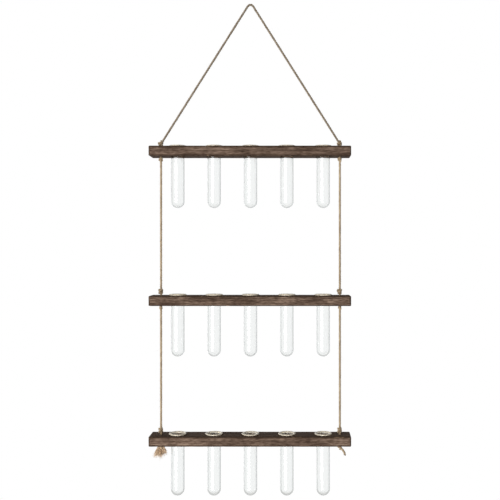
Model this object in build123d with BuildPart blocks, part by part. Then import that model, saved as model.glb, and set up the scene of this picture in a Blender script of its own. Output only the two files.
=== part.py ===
"""Hanging propagation vase: three wooden bars on one length of jute twine, five glass tubes in each.

Millimetres. The origin is the centre of the bend at the top of the twine, +Z is up,
+X runs along the bars and +Y points to the back.
"""

import os
from math import asin, atan2, cos, degrees, hypot, pi, radians, sin, tan

from build123d import *

# Bars
bar_depth = 38.0
bar_height = 16.5
bar_edge_round = 1.6
end_margin = 17.5
top_bar_drop = 231.6
middle_bar_drop = 244.8
bottom_bar_drop = 229.0

# Glass tubes
tubes_per_bar = 5
tube_pitch = 60.0
tube_diameter = 22.0
tube_wall = 1.2
tube_length = 103.0
lip_overhang = 3.4
lip_thickness = 2.2
tube_hole_clearance = 0.6
tube_hole_round = 1.0

# Twine and knots
twine_diameter = 3.5
twine_hole_clearance = 0.75
twine_spacing = 27.5
peg_diameter = 4.5
knot_diameter = 9.2
knot_clearance = 0.15
knot_gap = 1.4
knot_end_share = 0.65
wrap_pitch_share = 0.74

# Tails under the bottom bar
yarn_count = 9
yarn_diameter = 1.6
yarn_length = 10.5
yarn_taper_degrees = 1.5
yarn_fan_degrees = 46.0
yarn_splay_degrees = 11.0
unlaid_stub = 1.5
tail_run = 7.5
tail_first_lean_degrees = 52.0
tail_second_lean_degrees = 20.0
tail_bend_share = 0.45

# Values worked out from those above
tube_radius = tube_diameter / 2
bore_radius = tube_radius - tube_wall
tube_hole_radius = tube_radius + tube_hole_clearance
flare_radius = tube_hole_clearance + tube_hole_round
bead_radius = lip_thickness / 2
bead_centre = tube_radius + lip_overhang - bead_radius
mouth_radius = bead_centre - bore_radius
tube_end_height = lip_thickness - tube_length + tube_radius

outer_tube = tube_pitch * (tubes_per_bar - 1) / 2
twine_place = outer_tube + twine_spacing
bar_length = 2 * (twine_place + end_margin)
tube_places = [index * tube_pitch - outer_tube for index in range(tubes_per_bar)]
twine_places = [-twine_place, twine_place]

twine_radius = twine_diameter / 2
twine_hole_radius = twine_radius + twine_hole_clearance
wrap_pitch = wrap_pitch_share * twine_diameter
middle_wrap = knot_diameter / 2 - twine_radius
end_wrap = knot_end_share * middle_wrap
knot_half_height = wrap_pitch + twine_radius
knot_reach = max(knot_diameter / 2, hypot(end_wrap, wrap_pitch) + twine_radius)
socket_radius = knot_reach + knot_clearance

top_bar = -top_bar_drop
middle_bar = top_bar - middle_bar_drop
bottom_bar = middle_bar - bottom_bar_drop
over_top = top_bar + socket_radius
over_middle = middle_bar + knot_reach + knot_gap
over_bottom = bottom_bar + knot_reach + knot_gap
under_top = top_bar - bar_height - socket_radius
under_middle = middle_bar - bar_height - socket_radius
under_bottom = bottom_bar - bar_height - socket_radius

os.makedirs("parts", exist_ok=True)


def front_plane(x, z):
    """A plane facing the front with its origin at (x, 0, z), drawn in X and Z."""
    return Plane(origin=(x, 0, z), x_dir=(1, 0, 0), z_dir=(0, -1, 0))


def upright(x):
    """The vertical axis at x, in the middle of the bars' depth."""
    return Axis((x, 0, 0), (0, 0, 1))


def finish(piece, name):
    """Labels a finished piece and writes it to its own file."""
    piece.part.label = name
    export_step(piece.part, f"parts/{name}.step")


def make_bar(name, top):
    """A sawn bar with eased edges, rounded tube holes and two plain twine holes."""
    with BuildPart() as bar:
        with BuildSketch(Plane.XY.offset(top - bar_height)):
            Rectangle(bar_length, bar_depth)
        extrude(amount=bar_height)
        fillet(bar.edges(), radius=bar_edge_round)
        with Locations(*[(x, 0, top) for x in tube_places]):
            Hole(tube_hole_radius, depth=bar_height)
        mouths = bar.faces().sort_by(Axis.Z)[-1].edges().filter_by(GeomType.CIRCLE)
        fillet(mouths, radius=tube_hole_round)
        with Locations(*[(x, 0, top) for x in twine_places]):
            Hole(twine_hole_radius, depth=bar_height)
    finish(bar, name)


def make_tube(name, x, top):
    """A round-ended glass tube whose flared, beaded lip rests on the bar at the given height."""
    with BuildPart() as tube:
        with BuildSketch(front_plane(x, top)):
            with BuildLine():
                CenterArc((0, tube_end_height), tube_radius, -90, 90)
                Line((tube_radius, tube_end_height), (tube_radius, -flare_radius))
                CenterArc((tube_radius + flare_radius, -flare_radius), flare_radius, 180, -90)
                Line((tube_radius + flare_radius, 0), (bead_centre, 0))
                CenterArc((bead_centre, bead_radius), bead_radius, -90, 180)
                CenterArc((bead_centre, lip_thickness - mouth_radius), mouth_radius, 90, 90)
                Line((bore_radius, lip_thickness - mouth_radius), (bore_radius, tube_end_height))
                CenterArc((0, tube_end_height), bore_radius, 0, -90)
                Line((0, tube_end_height - bore_radius), (0, tube_end_height - tube_radius))
            make_face()
        revolve(axis=upright(x))
    finish(tube, name)


def make_knots(name, height):
    """A left and a right knot, each three wraps of the twine drawn up tight."""
    with BuildPart() as knots:
        for x in twine_places:
            with BuildSketch(front_plane(x, height)):
                Rectangle(end_wrap, 2 * knot_half_height, align=(Align.MIN, Align.CENTER))
                with Locations((end_wrap, wrap_pitch), (middle_wrap, 0), (end_wrap, -wrap_pitch)):
                    Circle(twine_radius)
                Rectangle(
                    knot_diameter,
                    2 * knot_half_height,
                    align=(Align.MAX, Align.CENTER),
                    mode=Mode.SUBTRACT,
                )
            revolve(axis=upright(x))
    finish(knots, name)


def make_straight_twine(name, places, upper_knot, lower_knot):
    """Upright twine from one knot's height to the next, hollowed at its ends to sit round them."""
    with BuildPart() as twine:
        with BuildSketch(Plane.XY.offset(lower_knot)):
            with Locations(*[(x, 0) for x in places]):
                Circle(twine_radius)
        extrude(amount=upper_knot - lower_knot)
        with Locations(*[(x, 0, z) for x in places for z in (lower_knot, upper_knot)]):
            Sphere(socket_radius, mode=Mode.SUBTRACT)
    finish(twine, name)


def make_tubes(tier, top):
    """The row of tubes in one bar, numbered from the left."""
    for index, x in enumerate(tube_places):
        make_tube(f"tube_{tier}_{index + 1}", x, top)


# Bars and tubes
make_bar("bar_top", top_bar)
make_bar("bar_middle", middle_bar)
make_bar("bar_bottom", bottom_bar)
make_tubes("top", top_bar)
make_tubes("middle", middle_bar)
make_tubes("bottom", bottom_bar)

# Bridle, whose legs run tangent to the bend at its top, which fits a peg
bend_radius = peg_diameter / 2 + twine_radius
leg_reach = hypot(twine_place, over_top)
leg_lean = atan2(twine_place, -over_top) - asin(bend_radius / leg_reach)
bend_corner = over_top + twine_place / tan(leg_lean)
bridle_route = ((-twine_place, over_top), (0, bend_corner), (twine_place, over_top))
with BuildPart() as twine_bridle:
    with BuildLine(Plane.XZ) as bridle_line:
        FilletPolyline(*bridle_route, radius=bend_radius)
    bridle_wire = bridle_line.wire()
    with BuildSketch(Plane(origin=bridle_wire @ 0, z_dir=bridle_wire % 0)):
        Circle(twine_radius)
    sweep(path=bridle_wire)
    bridle_volume = twine_bridle.part.volume
    # The spheres are turned so that their seams face away from the legs
    with Locations(*[(x, 0, over_top) for x in twine_places]):
        Sphere(socket_radius, rotation=(0, 0, 90), mode=Mode.SUBTRACT)
finish(twine_bridle, "twine_bridle")
print("bridle bend radius", bend_radius, "length", round(bridle_wire.length, 1))
print("bridle volume share", round(bridle_volume / (pi * twine_radius**2 * bridle_wire.length), 4))

# Knots
make_knots("knots_over_top_bar", over_top)
make_knots("knots_under_top_bar", under_top)
make_knots("knots_over_middle_bar", over_middle)
make_knots("knots_under_middle_bar", under_middle)
make_knots("knots_over_bottom_bar", over_bottom)
make_knots("knots_under_bottom_bar", under_bottom)

# Straight twine in the bars' holes and between the bars
make_straight_twine("twine_in_top_bar", twine_places, over_top, under_top)
make_straight_twine("twine_in_middle_bar", twine_places, over_middle, under_middle)
make_straight_twine("twine_in_bottom_bar", twine_places, over_bottom, under_bottom)
make_straight_twine("twine_upper_left", twine_places[:1], under_top, over_middle)
make_straight_twine("twine_upper_right", twine_places[1:], under_top, over_middle)
make_straight_twine("twine_lower_left", twine_places[:1], under_middle, over_bottom)
make_straight_twine("twine_lower_right", twine_places[1:], under_middle, over_bottom)

# Left tail, a short stub of twine unlaid into a fan of yarns
stub_end = under_bottom - socket_radius - unlaid_stub
with BuildPart() as twine_tail_left:
    with BuildSketch(Plane.XY.offset(stub_end)):
        with Locations((-twine_place, 0)):
            Circle(twine_radius)
    extrude(amount=under_bottom - stub_end)
    for index in range(yarn_count):
        lean = radians(yarn_fan_degrees * (2 * index / (yarn_count - 1) - 1))
        splay = radians(yarn_splay_degrees * (index % 3 - 1))
        yarn_way = Vector(sin(lean), sin(splay), -cos(lean))
        with BuildSketch(Plane(origin=(-twine_place, 0, stub_end + unlaid_stub), z_dir=yarn_way)):
            Circle(yarn_diameter / 2)
        extrude(amount=yarn_length, taper=yarn_taper_degrees)
    with Locations((-twine_place, 0, under_bottom)):
        Sphere(socket_radius, rotation=(0, 0, 90), mode=Mode.SUBTRACT)
finish(twine_tail_left, "twine_tail_left")

# Right tail, a short end of twine that leaves the knot sideways and turns down
first_lean = radians(tail_first_lean_degrees)
second_lean = radians(tail_second_lean_degrees)
tail_bend = tail_bend_share * tail_run / tan((first_lean - second_lean) / 2)
tail_corner = (twine_place + tail_run * sin(first_lean), under_bottom - tail_run * cos(first_lean))
tail_tip = (tail_corner[0] + tail_run * sin(second_lean), tail_corner[1] - tail_run * cos(second_lean))
tail_route = ((twine_place, under_bottom), tail_corner, tail_tip)
with BuildPart() as twine_tail_right:
    with BuildLine(Plane.XZ) as tail_line:
        FilletPolyline(*tail_route, radius=tail_bend)
    tail_wire = tail_line.wire()
    with BuildSketch(Plane(origin=tail_wire @ 0, z_dir=tail_wire % 0)):
        Circle(twine_radius)
    sweep(path=tail_wire)
    tail_volume = twine_tail_right.part.volume
    with Locations((twine_place, 0, under_bottom)):
        Sphere(socket_radius, rotation=(0, 0, 90), mode=Mode.SUBTRACT)
finish(twine_tail_right, "twine_tail_right")
print("right tail bend radius", round(tail_bend, 1), "length", round(tail_wire.length, 1))
print("right tail volume share", round(tail_volume / (pi * twine_radius**2 * tail_wire.length), 4))
print("leg lean", round(degrees(leg_lean), 2), "bend corner", round(bend_corner, 3))
print("knot heights", [round(z, 3) for z in (over_top, under_top, over_middle, under_middle)])
print("knot heights, bottom bar", round(over_bottom, 3), round(under_bottom, 3))
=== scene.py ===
"""Looks of the hanging propagation vase: stained wood bars, clear glass tubes and hairy jute twine.

Metres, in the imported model's frame: the origin is the bend at the top of the twine, +Z is up,
+X runs along the bars and +Y points to the back.
"""

import math

import bpy
import numpy as np
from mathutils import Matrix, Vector, noise


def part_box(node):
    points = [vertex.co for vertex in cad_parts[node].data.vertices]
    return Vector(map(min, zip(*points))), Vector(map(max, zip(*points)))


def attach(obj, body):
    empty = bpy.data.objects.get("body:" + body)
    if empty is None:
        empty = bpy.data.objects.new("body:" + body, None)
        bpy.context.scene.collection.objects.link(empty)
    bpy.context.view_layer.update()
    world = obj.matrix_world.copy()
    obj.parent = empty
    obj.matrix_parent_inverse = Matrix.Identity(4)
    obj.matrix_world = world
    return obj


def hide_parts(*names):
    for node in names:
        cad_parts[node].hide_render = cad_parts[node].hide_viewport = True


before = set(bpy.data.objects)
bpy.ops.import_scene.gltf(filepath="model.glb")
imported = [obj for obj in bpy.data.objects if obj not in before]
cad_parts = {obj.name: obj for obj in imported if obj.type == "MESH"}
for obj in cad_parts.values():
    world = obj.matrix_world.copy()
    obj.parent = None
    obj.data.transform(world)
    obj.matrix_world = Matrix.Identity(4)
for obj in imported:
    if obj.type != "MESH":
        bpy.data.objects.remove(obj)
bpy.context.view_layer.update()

rng = np.random.default_rng(7)
scene = bpy.context.scene
tiers = ("top", "middle", "bottom")

# Twine, repeated from the part's source
twine_place = 0.1475
twine_diameter = 0.0035
bend_corner = 0.007502
tail_corner = (0.153410, 0.0, -0.731601)
tail_tip = (0.155975, 0.0, -0.738649)
stub_end = -0.733568
knot_heights = {
    "over_top_bar": -0.226516,
    "under_top_bar": -0.253184,
    "over_middle_bar": -0.470066,
    "under_middle_bar": -0.497984,
    "over_bottom_bar": -0.699066,
    "under_bottom_bar": -0.726984,
}

# Lines of twine
straight_from_bend = 0.021
cord_resolution = 240
tail_resolution = 60
fewest_steps = 4

# Rope lay, and how far its twist, offset and girth wander
plies = 3
ply_radius = 0.00098
ply_sides = 10
lay_radius = 0.00086
lay_length = 0.0125
ring_step = 0.0009
fibre_shift = 9.0
twist_wander = {"reach": 14, "size": 0.12}
offset_wander = {"reach": 9, "size": 0.06}
girth_wander = {"reach": 6, "size": 0.05}

# Hairs that stand off the twine
hairs_per_metre = 2600
hair_length = 0.0024
knot_hair_length = 0.0012
hair_length_spread = 0.45
hair_radius = 0.00004
hair_root_share = 0.36
hair_lean = (0.15, 1.2)
hair_curl = 0.55

# Fibres of the frayed ends
fibre_points = 5
fibre_sides = 3
fibre_taper_share = 0.6
fibre_radius = 0.00022
fibre_spread = 0.0006
fibres_per_yarn = 80

# Left tail, a tassel that fans out right under its knot
yarn_count = 7
yarn_fan = math.radians(24.0)
yarn_splay = math.radians(11.0)
yarn_drift = 0.07
yarn_curl = 0.22
yarn_droop = 0.10
yarn_length_shares = (0.70, 1.02)
tuft_rise = 0.0036
tuft_root = knot_heights["under_bottom_bar"] + tuft_rise
tuft_half_width = 0.0030
tuft_length = 0.0180
tuft_trim = 0.0050

# Right tail, cut short
tip_drift = 0.25
tip_curl = 0.4
tip_length_shares = (0.4, 1.0)

# Knots, each a trefoil drawn up tight: shares of its width, depth and wrap height, row by row
knot_shares = {
    "over_top_bar": (1.30, 1.00, 0.85),
    "under_top_bar": (0.90, 0.70, 0.80),
    "over_middle_bar": (1.20, 1.00, 1.40),
    "under_middle_bar": (0.60, 0.60, 0.65),
    "over_bottom_bar": (1.20, 1.00, 1.40),
    "under_bottom_bar": (1.10, 1.00, 0.60),
}
knot_rise = {
    "over_top_bar": 0.0,
    "under_top_bar": 0.0010,
    "over_middle_bar": 0.0,
    "under_middle_bar": 0.0014,
    "over_bottom_bar": 0.0,
    "under_bottom_bar": 0.0017,
}
knot_bodies = {
    "over_top_bar": "bridle",
    "under_top_bar": "knots_under_top",
    "over_middle_bar": "knots_over_middle",
    "under_middle_bar": "knots_under_middle",
    "over_bottom_bar": "knots_over_bottom",
    "under_bottom_bar": "bottom_bar",
}
knot_ring_radius = 0.00245
knot_wrap_width = 0.00100
knot_wrap_height = 0.00225
knot_end_height = 0.0056
knot_seat_share = 0.62
knot_slim_share = 0.86
knot_points = 72
knot_start = math.pi / 6
knot_stop = 11 * math.pi / 6
knot_spin = 0.6
knot_smoothing = (1.0, 2.0, 3.0, 2.0, 1.0)

# Twine shades in 8-bit sRGB, from its dark fibres to its light ones
laid_shades = ((138, 116, 88), (184, 163, 134), (216, 200, 174))
bridle_shades = ((112, 97, 78), (150, 136, 118), (178, 167, 152))
# The loose and frayed fibres' shades are paler: partly the fibres' own colour, partly painted light that
# makes up for the shade they cast on one another
loose_painted_light_shades = ((172, 150, 122), (216, 195, 165), (248, 232, 205))
frayed_painted_light_shades = ((216, 180, 146), (244, 214, 180), (254, 236, 210))

# Glass
glass_density = 56.0
lip_fade = 0.0012
# Cream of the lip above the bar, a painted highlight
painted_lip_highlight = (255, 242, 219)

# Wood
# Dark colour of the edges and level faces: partly stain, partly painted shade
edge_stain_and_shade = (60, 46, 36)
chip_shade = (178, 148, 120)
heart_offset = {"top": (-0.041, 0.031), "middle": (-0.036, 0.043), "bottom": (-0.046, 0.026)}

# Wood surface
bar_voxel = 0.0008
skin_depth = 0.0006
grain_depth = 0.00010
grain_along = 28.0
grain_across = 520.0
chip_depth = 0.0007
chip_reach = 0.0020
chip_along = 95.0
chip_across = 210.0
chip_shift = 3.0
chip_start = 0.12
crumb_scale = 400.0
crumb_share = 0.4
wear_start = 0.42
wear_gain = 2.2

# Edge darkening, partly stain and partly painted shade: how far it reaches from an edge, and its share
# there; on the level faces it is painted shade alone
edge_darkening_core = 0.0011
edge_darkening_reach = 0.0030
edge_darkening_ragged_share = 0.5
upper_edge_stain_and_shade_share = 0.95
lower_edge_stain_and_shade_share = 0.60
end_stain_share = 0.90
top_face_painted_shade_share = 0.50
under_face_painted_shade_share = 0.80
level_normal = 0.7

# Camera
camera_place = (0.0735, -1.304, -0.4016)
camera_lens = 56.9
camera_shift_x = -0.09

# Light and floor
lamp_target = (0.0, 0.0, -0.4)
key_place = (-1.1, -2.4, -0.62)
key_size = 2.4
key_power = 86.0
fill_place = (-2.1, 2.2, -0.70)
fill_size = 2.4
fill_power = 65.0
strip_place = (-2.1, 2.2, -0.45)
strip_width = 1.2
strip_height = 2.6
strip_power = 15.0
ambient_level = 0.14
mirrored_level = 0.75
floor_height = -1.4
floor_size = 3.0
floor_glow_share = 0.8


# Shader helpers


def new_material(name):
    """An empty node material and its tree."""
    material = bpy.data.materials.new(name)
    material.use_nodes = True
    material.node_tree.nodes.clear()
    return material, material.node_tree


def put(tree, socket, value):
    """Links a socket to another node's output, or sets its own value."""
    if isinstance(value, bpy.types.NodeSocket):
        tree.links.new(value, socket)
    elif socket.type == "RGBA":
        socket.default_value = (*value, 1.0)
    else:
        socket.default_value = value


def add(tree, kind, inputs=None, **settings):
    """A new node, its settings made and its inputs set or linked."""
    made = tree.nodes.new("ShaderNode" + kind)
    for key, value in settings.items():
        setattr(made, key, value)
    for key, value in (inputs or {}).items():
        put(tree, made.inputs[key], value)
    return made


def work(tree, operation, first, second):
    """The result of a maths operation on two values."""
    return add(tree, "Math", {0: first, 1: second}, operation=operation).outputs[0]


def ramp(tree, factor, stops):
    """A colour ramp over the given (place, colour) stops."""
    made = add(tree, "ValToRGB", {"Fac": factor})
    elements = made.color_ramp.elements
    while len(elements) < len(stops):
        elements.new(0.5)
    for element, (place, colour) in zip(elements, stops):
        element.position = place
        element.color = (*colour, 1.0)
    return made.outputs["Color"]


def blend(tree, factor, first, second, mode="MIX"):
    """Two colours blended by a factor."""
    made = add(tree, "Mix", data_type="RGBA", blend_type=mode)
    sockets = {socket.identifier: socket for socket in made.inputs}
    put(tree, sockets["Factor_Float"], factor)
    put(tree, sockets["A_Color"], first)
    put(tree, sockets["B_Color"], second)
    return next(socket for socket in made.outputs if socket.identifier == "Result_Color")


def stretched_noise(tree, place, scale, detail, shift=(0.0, 0.0, 0.0)):
    """Noise with its own scale along each axis."""
    mapped = add(tree, "Mapping", {"Vector": place, "Location": shift, "Scale": scale}).outputs["Vector"]
    return add(tree, "TexNoise", {"Vector": mapped, "Scale": 1.0, "Detail": detail}).outputs["Fac"]


def srgb(red, green, blue):
    """Linear colour of an 8-bit sRGB one."""
    return tuple(((c / 255 + 0.055) / 1.055) ** 2.4 for c in (red, green, blue))


def grey(level):
    """The linear grey of a level."""
    return (level, level, level)


# Materials


def stained_wood(name, heart):
    """Dark stained softwood: rings about a heart line along X, pores, a few pale chips, edges darkened by
    stain and painted shade, and painted shade on the top and under faces.
    """
    material, tree = new_material(name)
    place = add(tree, "TexCoord").outputs["Object"]
    along = add(tree, "Mapping", {"Vector": place, "Location": heart, "Scale": (0.05, 1.0, 1.0)})
    rings = add(
        tree,
        "TexWave",
        {
            "Vector": along.outputs["Vector"],
            "Scale": 120.0,
            "Distortion": 2.2,
            "Detail": 2.0,
            "Detail Scale": 0.6,
        },
        wave_type="RINGS",
        rings_direction="X",
        wave_profile="SAW",
    ).outputs["Fac"]
    pores = stretched_noise(tree, place, (70.0, 2400.0, 2400.0), 4.0, heart)
    blotches = stretched_noise(tree, place, (26.0, 90.0, 90.0), 4.0, heart)
    specks = stretched_noise(tree, place, (110.0, 520.0, 520.0), 5.0, heart)

    ringed = ramp(tree, rings, [
        (0.0, srgb(160, 138, 122)),
        (0.55, srgb(146, 124, 109)),
        (0.9, srgb(124, 104, 91)),
        (1.0, srgb(136, 115, 101)),
    ])
    darkening = ramp(tree, blotches, [(0.36, srgb(150, 140, 132)), (0.64, srgb(255, 254, 251))])
    pore = ramp(tree, pores, [(0.36, srgb(126, 110, 100)), (0.52, srgb(255, 255, 255))])
    speck = ramp(tree, specks, [(0.38, srgb(140, 128, 118)), (0.60, srgb(255, 255, 255))])
    stained = blend(tree, 0.8, ringed, darkening, "MULTIPLY")
    pored = blend(tree, 0.7, stained, pore, "MULTIPLY")
    speckled = blend(tree, 0.7, pored, speck, "MULTIPLY")
    # The edge attribute darkens the wood: stain and painted shade along the edges, painted shade on the
    # top and under faces
    edge = add(tree, "Attribute", attribute_name="edge").outputs["Fac"]
    edged = blend(tree, edge, speckled, srgb(*edge_stain_and_shade))
    wear = add(tree, "Attribute", attribute_name="wear").outputs["Fac"]
    colour = blend(tree, wear, edged, srgb(*chip_shade))

    height = work(tree, "ADD", work(tree, "ADD", pores, rings), specks)
    bump = add(tree, "Bump", {"Height": height, "Strength": 0.5, "Distance": 0.0004})
    wood = add(tree, "BsdfPrincipled", {
        "Base Color": colour,
        "Roughness": ramp(tree, specks, [(0.3, grey(0.55)), (0.7, grey(0.78))]),
        "Normal": bump.outputs["Normal"],
        "Specular IOR Level": 0.03,
    })
    add(tree, "OutputMaterial", {"Surface": wood.outputs["BSDF"]})
    return material


def clear_glass(tier):
    """Thin drawn glass darkened towards its outline by painted shade, with a slight waviness and a
    fire-polished lip above the bar made milky and cream as a painted highlight.
    """
    material, tree = new_material(f"clear_glass_{tier}")
    place = add(tree, "TexCoord").outputs["Object"]
    waves = stretched_noise(tree, place, (40.0, 40.0, 10.0), 1.0)
    bump = add(tree, "Bump", {"Height": waves, "Strength": 0.012, "Distance": 0.0006})
    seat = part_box(f"bar_{tier}")[1].z
    height = add(tree, "SeparateXYZ", {"Vector": place}).outputs["Z"]
    # The lip above the bar is made milky and cream: a painted highlight where it catches the light
    lip = add(tree, "MapRange", {
        "Value": height,
        "From Min": seat - lip_fade,
        "From Max": seat + lip_fade,
    }).outputs["Result"]
    # Painted shade: the glass colour darkens where the glass is seen edge-on, at its outline
    facing = add(tree, "LayerWeight", {"Blend": 0.5}).outputs["Facing"]
    rim = ramp(tree, facing, [
        (0.48, grey(1.0)),
        (0.62, (0.64, 0.65, 0.65)),
        (1.0, (0.30, 0.31, 0.31)),
    ])
    glass = add(tree, "BsdfPrincipled", {
        "Base Color": blend(tree, lip, rim, srgb(*painted_lip_highlight)),
        "Roughness": ramp(tree, lip, [(0.0, grey(0.0)), (1.0, grey(0.22))]),
        "IOR": 1.47,
        "Transmission Weight": ramp(tree, lip, [(0.0, grey(1.0)), (1.0, grey(0.18))]),
        "Normal": bump.outputs["Normal"],
    })
    clear = add(tree, "BsdfTransparent", {"Color": (0.93, 0.94, 0.935)})
    ray = add(tree, "LightPath").outputs["Is Shadow Ray"]
    mixed = add(tree, "MixShader", {0: ray, 1: glass.outputs["BSDF"], 2: clear.outputs["BSDF"]})
    tint = add(tree, "VolumeAbsorption", {"Color": (0.30, 0.42, 0.38), "Density": glass_density})
    add(tree, "OutputMaterial", {"Surface": mixed.outputs["Shader"], "Volume": tint.outputs["Volume"]})
    return material


def jute_twine(name, shades):
    """Natural jute: dark and light fibres that run along each ply."""
    material, tree = new_material(name)
    lay = add(tree, "Attribute", attribute_name="fibre").outputs["Vector"]
    fibres = stretched_noise(tree, lay, (140.0, 5.0, 5.0), 4.0)
    place = add(tree, "TexCoord").outputs["Object"]
    patches = add(tree, "TexNoise", {"Vector": place, "Scale": 160.0, "Detail": 2.0}).outputs["Fac"]
    dark, middle, light = (srgb(*shade) for shade in shades)
    straw = ramp(tree, fibres, [(0.30, dark), (0.48, middle), (0.70, light)])
    patched = ramp(tree, patches, [(0.35, srgb(205, 196, 184)), (0.65, srgb(255, 253, 248))])
    bump = add(tree, "Bump", {"Height": fibres, "Strength": 0.6, "Distance": 0.0003})
    jute = add(tree, "BsdfPrincipled", {
        "Base Color": blend(tree, 0.8, straw, patched, "MULTIPLY"),
        "Roughness": ramp(tree, fibres, [(0.3, grey(0.75)), (0.7, grey(0.92))]),
        "Normal": bump.outputs["Normal"],
        "Specular IOR Level": 0.2,
        "Sheen Weight": 0.25,
    })
    add(tree, "OutputMaterial", {"Surface": jute.outputs["BSDF"]})
    return material


# Camera, light and floor


def set_camera():
    """A level camera a little right of the middle, shifted so that the bars stay square to it."""
    data = bpy.data.cameras.new("camera")
    data.lens = camera_lens
    data.shift_x = camera_shift_x
    camera = bpy.data.objects.new("camera", data)
    camera.location = camera_place
    camera.rotation_euler = (math.pi / 2, 0.0, 0.0)
    scene.collection.objects.link(camera)
    scene.camera = camera


def add_lamp(name, place, size, power):
    """A soft square lamp that faces the middle of the vase and isn't seen through the glass."""
    data = bpy.data.lights.new(name, "AREA")
    data.size = size
    data.energy = power
    lamp = bpy.data.objects.new(name, data)
    lamp.location = place
    lamp.rotation_euler = (Vector(lamp_target) - lamp.location).to_track_quat("-Z", "Y").to_euler()
    lamp.visible_transmission = False
    scene.collection.objects.link(lamp)
    return lamp


def set_light():
    """A soft lamp in front, a weaker one behind, a tall one for gloss alone, and a white surround."""
    add_lamp("key", key_place, key_size, key_power)
    fill = add_lamp("fill", fill_place, fill_size, fill_power)
    fill.visible_glossy = False
    strip = add_lamp("strip", strip_place, strip_width, strip_power)
    strip.data.shape = "RECTANGLE"
    strip.data.size_y = strip_height
    strip.visible_diffuse = False

    world = bpy.data.worlds.new("studio")
    scene.world = world
    world.use_nodes = True
    tree = world.node_tree
    tree.nodes.clear()
    ray = add(tree, "LightPath").outputs
    mirrored = work(tree, "MULTIPLY", ray["Is Glossy Ray"], mirrored_level)
    seen = work(tree, "MAXIMUM", ray["Is Camera Ray"], ray["Is Transmission Ray"])
    level = work(tree, "MAXIMUM", work(tree, "MAXIMUM", seen, mirrored), ambient_level)
    surround = add(tree, "Background", {"Color": grey(1.0), "Strength": level})
    add(tree, "OutputWorld", {"Surface": surround.outputs["Background"]})


def set_floor():
    """A pale floor well below the vase, with a glow of its own where it is looked at."""
    material, tree = new_material("floor")
    specks = add(tree, "TexNoise", {"Scale": 40.0, "Detail": 3.0}).outputs["Fac"]
    colour = ramp(tree, specks, [(0.3, srgb(236, 235, 233)), (0.7, srgb(244, 243, 242))])
    pale = add(tree, "BsdfPrincipled", {"Base Color": colour, "Roughness": 0.8}).outputs["BSDF"]
    bright = add(tree, "Emission", {"Color": colour}).outputs["Emission"]
    ray = add(tree, "LightPath").outputs
    seen = work(tree, "MAXIMUM", ray["Is Camera Ray"], ray["Is Transmission Ray"])
    shown = work(tree, "MAXIMUM", seen, ray["Is Glossy Ray"])
    glow = work(tree, "MULTIPLY", shown, floor_glow_share)
    mixed = add(tree, "MixShader", {0: glow, 1: pale, 2: bright})
    add(tree, "OutputMaterial", {"Surface": mixed.outputs["Shader"]})
    bpy.ops.mesh.primitive_plane_add(size=floor_size, location=(0.0, 0.0, floor_height))
    floor = bpy.context.object
    floor.name = "floor"
    floor.data.materials.append(material)


# Lines and strands


def evaluated_mesh(thing):
    """A new mesh of an object's shape, with its modifiers or curve worked out."""
    bpy.context.view_layer.update()
    return bpy.data.meshes.new_from_object(thing.evaluated_get(bpy.context.evaluated_depsgraph_get()))


def read_route(points, resolution):
    """Points along the smooth line that a cord's route gives."""
    curve = bpy.data.curves.new("route", "CURVE")
    curve.dimensions = "3D"
    curve.resolution_u = resolution
    spline = curve.splines.new("NURBS")
    spline.points.add(len(points) - 1)
    for point, place in zip(spline.points, points):
        point.co = (*place, 1.0)
    spline.order_u = 3
    spline.use_endpoint_u = True
    route = bpy.data.objects.new("route", curve)
    scene.collection.objects.link(route)
    line = evaluated_mesh(route)
    places = np.array([vertex.co for vertex in line.vertices])
    bpy.data.objects.remove(route)
    bpy.data.meshes.remove(line)
    return places


def run_lengths(places):
    """How far along its line each point is."""
    steps = np.linalg.norm(np.diff(places, axis=0), axis=1)
    return np.concatenate(([0.0], np.cumsum(steps)))


def even_steps(places, step):
    """The same line at equal steps along it."""
    lengths = run_lengths(places)
    count = max(fewest_steps, int(lengths[-1] / step) + 1)
    stations = np.linspace(0.0, lengths[-1], count)
    return np.stack([np.interp(stations, lengths, places[:, axis]) for axis in range(3)], axis=1)


def carry_frames(places):
    """Tangent and two side directions at each point, turned as little as possible along the line."""
    tangents = np.gradient(places, axis=0)
    tangents /= np.linalg.norm(tangents, axis=1)[:, None]
    normals = np.empty_like(places)
    side = np.zeros(3)
    side[np.argmin(np.abs(tangents[0]))] = 1.0
    for index, tangent in enumerate(tangents):
        side = side - tangent * side.dot(tangent)
        side = side / np.linalg.norm(side)
        normals[index] = side
    return tangents, normals, np.cross(tangents, normals)


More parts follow.
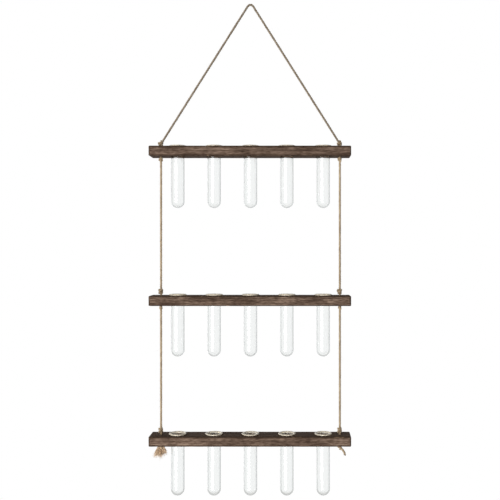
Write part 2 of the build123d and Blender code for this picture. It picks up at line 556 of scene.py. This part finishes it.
class Strands:
    """Round strands gathered into one mesh, with each point's place along and around its strand."""

    def __init__(self):
        self.places = []
        self.lays = []
        self.faces = []
        self.count = 0

    def add(self, places, radii, sides):
        """One strand of the given radius at each point."""
        _, normals, binormals = carry_frames(places)
        angles = np.arange(sides) * math.tau / sides
        cosines = np.cos(angles)
        sines = np.sin(angles)
        ring = normals[:, None] * cosines[None, :, None] + binormals[:, None] * sines[None, :, None]
        skin = places[:, None] + ring * np.asarray(radii)[:, None, None]
        lay = np.empty(skin.shape)
        lay[..., 0] = (run_lengths(places) + rng.uniform(0.0, fibre_shift))[:, None]
        lay[..., 1] = cosines
        lay[..., 2] = sines
        self.places.append(skin.reshape(-1, 3))
        self.lays.append(lay.reshape(-1, 3))
        rows = self.count + np.arange(len(places) - 1)[:, None] * sides
        here = np.arange(sides)[None, :]
        there = (here + 1) % sides
        quads = np.stack((rows + here, rows + there, rows + sides + there, rows + sides + here), axis=-1)
        self.faces.extend(quads.reshape(-1, 4).tolist())
        last = self.count + (len(places) - 1) * sides
        self.faces.append(list(range(self.count + sides - 1, self.count - 1, -1)))
        self.faces.append(list(range(last, last + sides)))
        self.count += len(places) * sides

    def piece(self, name, body, material):
        """The finished object, riding on its body."""
        mesh = bpy.data.meshes.new(name)
        mesh.from_pydata(np.concatenate(self.places).tolist(), [], self.faces)
        fibre = mesh.attributes.new("fibre", "FLOAT_VECTOR", "POINT")
        fibre.data.foreach_set("vector", np.concatenate(self.lays).ravel())
        mesh.shade_smooth()
        mesh.materials.append(material)
        made = bpy.data.objects.new(name, mesh)
        scene.collection.objects.link(made)
        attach(made, body)
        return made


def wander(count, reach, size):
    """Random numbers about zero, a new one every few points and even steps between."""
    knots = rng.normal(0.0, size, max(2, int(count / reach) + 2))
    return np.interp(np.linspace(0.0, len(knots) - 1, count), np.arange(len(knots)), knots)


def lay_rope(strands, places, slim_share=1.0):
    """Plies twisted round a line, uneven as hand-spun jute is."""
    steps = even_steps(places, ring_step)
    count = len(steps)
    _, normals, binormals = carry_frames(steps)
    stations = np.arange(count) * ring_step
    start = rng.uniform(0.0, math.tau)
    for ply in range(plies):
        turn = start + math.tau * (ply / plies + stations / lay_length) + wander(count, **twist_wander)
        out = lay_radius * slim_share * (1 + wander(count, **offset_wander))
        girth = ply_radius * slim_share * (1 + wander(count, **girth_wander))
        outward = normals * np.cos(turn)[:, None] + binormals * np.sin(turn)[:, None]
        strands.add(steps + outward * out[:, None], girth, ply_sides)


def grow_fibre(strands, root, way, length, curl, radius, droop=0.0):
    """One tapering fibre that curls to a random side and droops."""
    bend = rng.normal(0.0, curl, 3) - np.array((0.0, 0.0, 2 * droop))
    share = np.linspace(0.0, 1.0, fibre_points)[:, None]
    places = root + length * share * (way + 0.5 * share * bend)
    strands.add(places, radius * (1.0 - fibre_taper_share * share[:, 0]), fibre_sides)


def grow_hairs(strands, places, typical_length=hair_length):
    """Loose fibres that stand off a line of twine."""
    steps = even_steps(places, ring_step)
    tangents, normals, binormals = carry_frames(steps)
    for _ in range(int(hairs_per_metre * ring_step * len(steps))):
        at = rng.integers(1, len(steps) - 1)
        turn = rng.uniform(0.0, math.tau)
        outward = normals[at] * math.cos(turn) + binormals[at] * math.sin(turn)
        lean = rng.uniform(*hair_lean)
        way = outward * math.sin(lean) + tangents[at] * math.cos(lean) * rng.choice((-1.0, 1.0))
        root = steps[at] + outward * twine_diameter * hair_root_share
        length = typical_length * rng.lognormal(0.0, hair_length_spread)
        grow_fibre(strands, root, way, length, hair_curl, hair_radius)


# Twine


def bridle_route():
    """The bridle's points, with one on each leg near the bend that keeps the leg straight."""
    foot = knot_heights["over_top_bar"]
    rise = bend_corner - foot
    slope = math.hypot(twine_place, rise)
    leg_x = straight_from_bend * twine_place / slope
    leg_z = bend_corner - straight_from_bend * rise / slope
    return (
        (-twine_place, 0.0, foot),
        (-leg_x, 0.0, leg_z),
        (0.0, 0.0, bend_corner),
        (leg_x, 0.0, leg_z),
        (twine_place, 0.0, foot),
    )


def make_cord(name, body, route, node, laid, loose):
    """One taut stretch of twine: twisted plies and their hairs."""
    places = read_route(route, cord_resolution)
    rope = Strands()
    lay_rope(rope, places)
    twine = rope.piece(name, body, laid)
    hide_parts(node)
    fuzz = Strands()
    grow_hairs(fuzz, places)
    hairs = fuzz.piece(name + "_hairs", body, loose)


def knot_line(x, row):
    """The line of an overhand knot: an opened trefoil with its ends led out, shorter at its bar."""
    wide, deep, tall = knot_shares[row]
    upper_share, lower_share = 1.0, knot_seat_share
    if row.startswith("under"):
        upper_share, lower_share = lower_share, upper_share
    turn = np.linspace(knot_start, knot_stop, knot_points)
    out = knot_ring_radius + knot_wrap_width * np.cos(3 * turn)
    rise = knot_wrap_height * tall * np.sin(3 * turn)
    wraps = np.stack((out * np.cos(2 * turn), out * np.sin(2 * turn), rise), axis=1)
    end = np.array((0.0, 0.0, knot_end_height))
    loose = np.concatenate(([end * upper_share], wraps, [-end * lower_share]))
    line = even_steps(loose, ring_step / 2)
    soft = np.array(knot_smoothing) / sum(knot_smoothing)
    rim = len(soft) // 2
    for axis in range(3):
        line[rim:-rim, axis] = np.convolve(line[:, axis], soft, "valid")
    spin = rng.uniform(-knot_spin, knot_spin)
    turned = line @ np.array((
        (math.cos(spin), math.sin(spin), 0.0),
        (-math.sin(spin), math.cos(spin), 0.0),
        (0.0, 0.0, 1.0),
    ))
    place = np.array((x, 0.0, knot_heights[row] + knot_rise[row]))
    return turned * np.array((wide, deep, 1.0)) + place


def make_knots(row, laid):
    """The left and right knot of one row."""
    strands = Strands()
    for x in (-twine_place, twine_place):
        line = knot_line(x, row)
        lay_rope(strands, line, knot_slim_share)
        grow_hairs(strands, line, knot_hair_length)
    knots = strands.piece(f"knot_pair_{row}", knot_bodies[row], laid)
    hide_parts(f"knots_{row}")


def make_twine_in_bar(tier, laid):
    """The two short lengths that pass through a bar's holes."""
    upper = knot_heights[f"over_{tier}_bar"]
    lower = knot_heights[f"under_{tier}_bar"]
    strands = Strands()
    for x in (-twine_place, twine_place):
        lay_rope(strands, np.array(((x, 0.0, upper), (x, 0.0, lower))))
    twine = strands.piece(f"rope_in_{tier}_bar", f"{tier}_bar", laid)
    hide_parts(f"twine_in_{tier}_bar")


def make_left_tail(frayed):
    """The twine's end, unlaid under its knot into a tassel of yarns that fray into fibres."""
    strands = Strands()
    start = (-twine_place, 0.0, knot_heights["under_bottom_bar"])
    lay_rope(strands, np.array((start, (-twine_place, 0.0, stub_end))))
    for index in range(yarn_count):
        side = 2 * index / (yarn_count - 1) - 1
        lean = yarn_fan * side
        splay = yarn_splay * (index % 3 - 1)
        way = np.array((math.sin(lean), math.sin(splay), -math.cos(lean)))
        reach = tuft_length - tuft_trim * max(0.0, side)
        for _ in range(fibres_per_yarn):
            root = np.array((tuft_half_width * side - twine_place, 0.0, tuft_root))
            root += rng.normal(0.0, fibre_spread, 3)
            drift = way + rng.normal(0.0, yarn_drift, 3)
            length = reach * rng.uniform(*yarn_length_shares)
            grow_fibre(strands, root, drift, length, yarn_curl, fibre_radius, yarn_droop)
    tail = strands.piece("tail_left", "bottom_bar", frayed)
    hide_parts("twine_tail_left")


def make_right_tail(laid):
    """A short end of twine that leans out to its cut tip."""
    strands = Strands()
    start = (twine_place, 0.0, knot_heights["under_bottom_bar"])
    line = read_route((start, tail_corner, tail_tip), tail_resolution)
    lay_rope(strands, line)
    grow_hairs(strands, line)
    way = line[-1] - line[-2]
    way /= np.linalg.norm(way)
    for _ in range(fibres_per_yarn):
        root = line[-1] - way * fibre_spread + rng.normal(0.0, fibre_spread, 3)
        drift = way + rng.normal(0.0, tip_drift, 3)
        length = hair_length * rng.uniform(*tip_length_shares)
        grow_fibre(strands, root, drift, length, tip_curl, fibre_radius)
    tail = strands.piece("tail_right", "bottom_bar", laid)
    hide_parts("twine_tail_right")


def make_twine():
    """All the twine, from the bend down to its two tails."""
    laid = jute_twine("jute_twine", laid_shades)
    bridle = jute_twine("bridle_jute", bridle_shades)
    loose = jute_twine("loose_jute", loose_painted_light_shades)
    frayed = jute_twine("frayed_jute", frayed_painted_light_shades)
    make_cord("bridle_rope", "bridle", bridle_route(), "twine_bridle", bridle, loose)
    runs = (
        ("upper", "under_top_bar", "over_middle_bar"),
        ("lower", "under_middle_bar", "over_bottom_bar"),
    )
    for side, x in (("left", -twine_place), ("right", twine_place)):
        for run, start, stop in runs:
            route = ((x, 0.0, knot_heights[start]), (x, 0.0, knot_heights[stop]))
            body = f"{run}_twine_{side}"
            node = f"twine_{run}_{side}"
            make_cord(f"{run}_rope_{side}", body, route, node, laid, loose)
    for row in knot_heights:
        make_knots(row, laid)
    for tier in tiers:
        make_twine_in_bar(tier, laid)
    make_left_tail(frayed)
    make_right_tail(laid)


# Bars and tubes


def clamp(value):
    """A value kept between 0 and 1."""
    return min(1.0, max(0.0, value))


def streaks(x, y, z, along, across, shift=0.0):
    """Noise that is drawn out along the bar."""
    return noise.noise((x * along, y * across, z * across + shift))


def weather(places, normals, low, high):
    """Sinks grain and chips into a bar's skin, and gives its shares of pale wear and of darkening: stain
    and painted shade along the edges, painted shade on the top and under faces.
    """
    wear = np.zeros(len(places))
    darkening = np.zeros(len(places))
    inset = np.sort(np.minimum(places - np.array(low), np.array(high) - places), axis=1)
    to_edge = inset[:, 1]
    for index in np.flatnonzero(inset[:, 0] < skin_depth):
        x, y, z = places[index]
        grain = streaks(x, y, z, grain_along, grain_across)
        crumbs = streaks(x, y, z, crumb_scale, crumb_scale)
        chip = streaks(x, y, z, chip_along, chip_across, chip_shift) + crumb_share * crumbs
        near = max(0.0, 1.0 - to_edge[index] / chip_reach)
        sink = grain_depth * max(0.0, grain) + chip_depth * near * max(0.0, chip - chip_start)
        places[index] -= normals[index] * sink
        wear[index] = clamp(near * wear_gain * (chip - wear_start))

        # Along the edges the darkening is partly stain and partly painted shade, heavier at the upper
        # edges, which get less light
        side_share = upper_edge_stain_and_shade_share if z > (low.z + high.z) / 2 else lower_edge_stain_and_shade_share
        at_end = min(x - low.x, high.x - x) < edge_darkening_reach
        blur = (edge_darkening_reach - to_edge[index]) / (edge_darkening_reach - edge_darkening_core) + edge_darkening_ragged_share * chip
        darkening[index] = (end_stain_share if at_end else side_share) * clamp(blur)
        # Painted shade: the top and under faces are darkened, as they get less light than the front
        if normals[index][2] > level_normal:
            darkening[index] = max(darkening[index], top_face_painted_shade_share)
        elif normals[index][2] < -level_normal:
            darkening[index] = max(darkening[index], under_face_painted_shade_share)
    return wear, darkening


def weather_bar(tier):
    """A copy of a bar with raised grain and chipped edges, darker along them from stain and painted
    shade, with painted shade on its top and under faces.
    """
    node = f"bar_{tier}"
    low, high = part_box(node)
    made = bpy.data.objects.new(f"wood_{tier}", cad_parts[node].data.copy())
    scene.collection.objects.link(made)
    remesh = made.modifiers.new("voxels", "REMESH")
    remesh.mode = "VOXEL"
    remesh.voxel_size = bar_voxel
    dense = evaluated_mesh(made)
    dense.name = f"wood_{tier}"
    made.modifiers.clear()
    made.data = dense

    places = np.array([vertex.co for vertex in dense.vertices], dtype=float)
    normals = np.array([vertex.normal for vertex in dense.vertices])
    wear, darkening = weather(places, normals, low, high)
    dense.vertices.foreach_set("co", places.ravel())
    for name, values in (("wear", wear), ("edge", darkening)):
        dense.attributes.new(name, "FLOAT", "POINT").data.foreach_set("value", values)
    dense.shade_smooth()

    heart_y, heart_z = heart_offset[tier]
    heart = (0.0, heart_y, heart_z - (low.z + high.z) / 2)
    dense.materials.clear()
    dense.materials.append(stained_wood(f"stained_wood_{tier}", heart))
    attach(made, f"{tier}_bar")
    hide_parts(node)


def dress_tubes(tier):
    """The tubes of a bar keep their own shape and take the glass."""
    glass = clear_glass(tier)
    for name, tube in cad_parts.items():
        if name.startswith(f"tube_{tier}_"):
            tube.data.materials.clear()
            tube.data.materials.append(glass)


set_camera()
set_light()
set_floor()
make_twine()
for tier in tiers:
    weather_bar(tier)
    dress_tubes(tier)

scene.view_settings.view_transform = "Standard"
